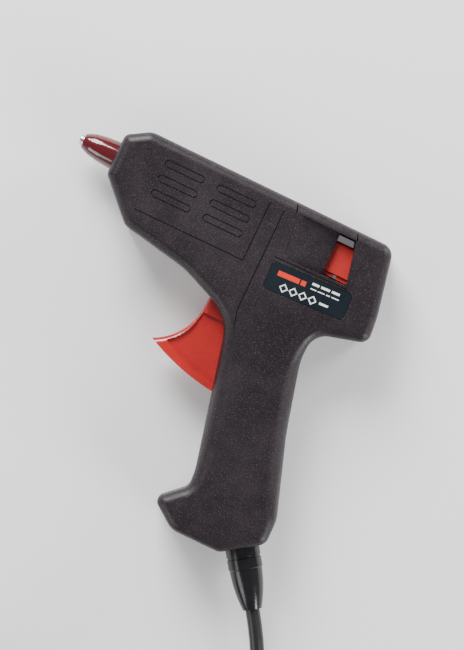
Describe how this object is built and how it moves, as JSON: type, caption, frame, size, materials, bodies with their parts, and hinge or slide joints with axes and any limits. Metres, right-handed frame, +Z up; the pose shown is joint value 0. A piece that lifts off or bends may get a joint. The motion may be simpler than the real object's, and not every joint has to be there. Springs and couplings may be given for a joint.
{
  "type": "hot-melt glue gun",
  "caption": "Small pistol-grip hot-melt glue gun in two dark shells, with a red nozzle cover, red trigger and carriage behind a side window, and a mains cord with plug.",
  "frame": {"origin": "middle of the underside of the gun lying on its right side, without its cord", "axes": "+Z up through the gun's left side, +X rearward along the glue stick, +Y towards the top of the barrel"},
  "size_m": [0.1738, 0.2679, 0.0387],
  "materials": {
    "housing_plastic": "fine spark-eroded texture, matt",
    "red_plastic": "moulded, satin gloss",
    "red_silicone": "smooth, glossy",
    "nozzle_metal": "turned and plated",
    "cast_aluminium": "die cast",
    "spring_steel": "bright",
    "screw_steel": "zinc plated",
    "insulator": "phenolic board",
    "clear_silicone": "translucent silicone",
    "polyimide_film": "amber film",
    "contact_metal": "stamped strip",
    "ceramic": "sintered ceramic",
    "label_print": "glossy printed film",
    "black_pvc": "glossy moulded PVC",
    "clamp_fibre": "moulded nylon",
    "brown_wire": "sleeved wire",
    "blue_wire": "sleeved wire",
    "crimp_cap": "closed-end crimp",
    "plug_black": "moulded, satin",
    "plug_brass": "polished",
    "carrier_red": "moulded"
  },
  "bodies": {
    "housing": {"left_shell": "housing_plastic", "right_shell": "housing_plastic", "nozzle_tip": "nozzle_metal", "nozzle_sleeve": "red_silicone", "melt_chamber": "cast_aluminium", "front_insulator": "insulator", "rear_support": "insulator", "feed_sleeve": "clear_silicone", "sleeve_clip": "spring_steel", "insulating_film": "polyimide_film", "contact_plates": "contact_metal", "heating_pill": "ceramic", "heater_clip": "spring_steel", "trigger_pin": "spring_steel", "return_spring": "spring_steel", "rating_label": "label_print", "strain_relief": "black_pvc", "cord_clamp": "clamp_fibre", "clamp_screws": "screw_steel", "housing_screws": "screw_steel", "inner_lead": "black_pvc", "live_lead": "brown_wire", "neutral_lead": "blue_wire", "cord_cores": "blue_wire", "crimp_caps": "crimp_cap", "power_cord": "black_pvc", "cord_coil": "black_pvc", "cord_tail": "black_pvc", "plug_body": "plug_black", "plug_pins": "plug_brass", "plug_fuse_carrier": "carrier_red"},
    "trigger": {"trigger": "red_plastic"},
    "feed_carriage": {"carriage": "red_plastic", "gripper_pin": "spring_steel"},
    "gripper_rocker": {"gripper": "spring_steel"}
  },
  "joints": [
    {"name": "trigger_pull", "type": "hinge", "parent": "housing", "child": "trigger", "pos_m": [0.01497, 0.0266, 0.013], "axis": [0, 0, 1], "range_deg": [0, 24], "stiffness_Nm_per_rad": 0.15, "springref_deg": -17.19},
    {"name": "carriage_feed", "type": "slide", "parent": "housing", "child": "feed_carriage", "axis": [-1, 0, 0], "range_m": [0, 0.0071], "deforming": ["return_spring"]},
    {"name": "gripper_tilt", "type": "hinge", "parent": "feed_carriage", "child": "gripper_rocker", "pos_m": [0.04397, 0.0466, 0.013], "axis": [0, 0, -1], "range_deg": [0, 8]}
  ],
  "couplings": [
    {"joint": "carriage_feed", "follows": "trigger_pull", "m_per_rad": 0.0169},
    {"joint": "gripper_tilt", "follows": "trigger_pull", "ratio": 0.3333}
  ]
}
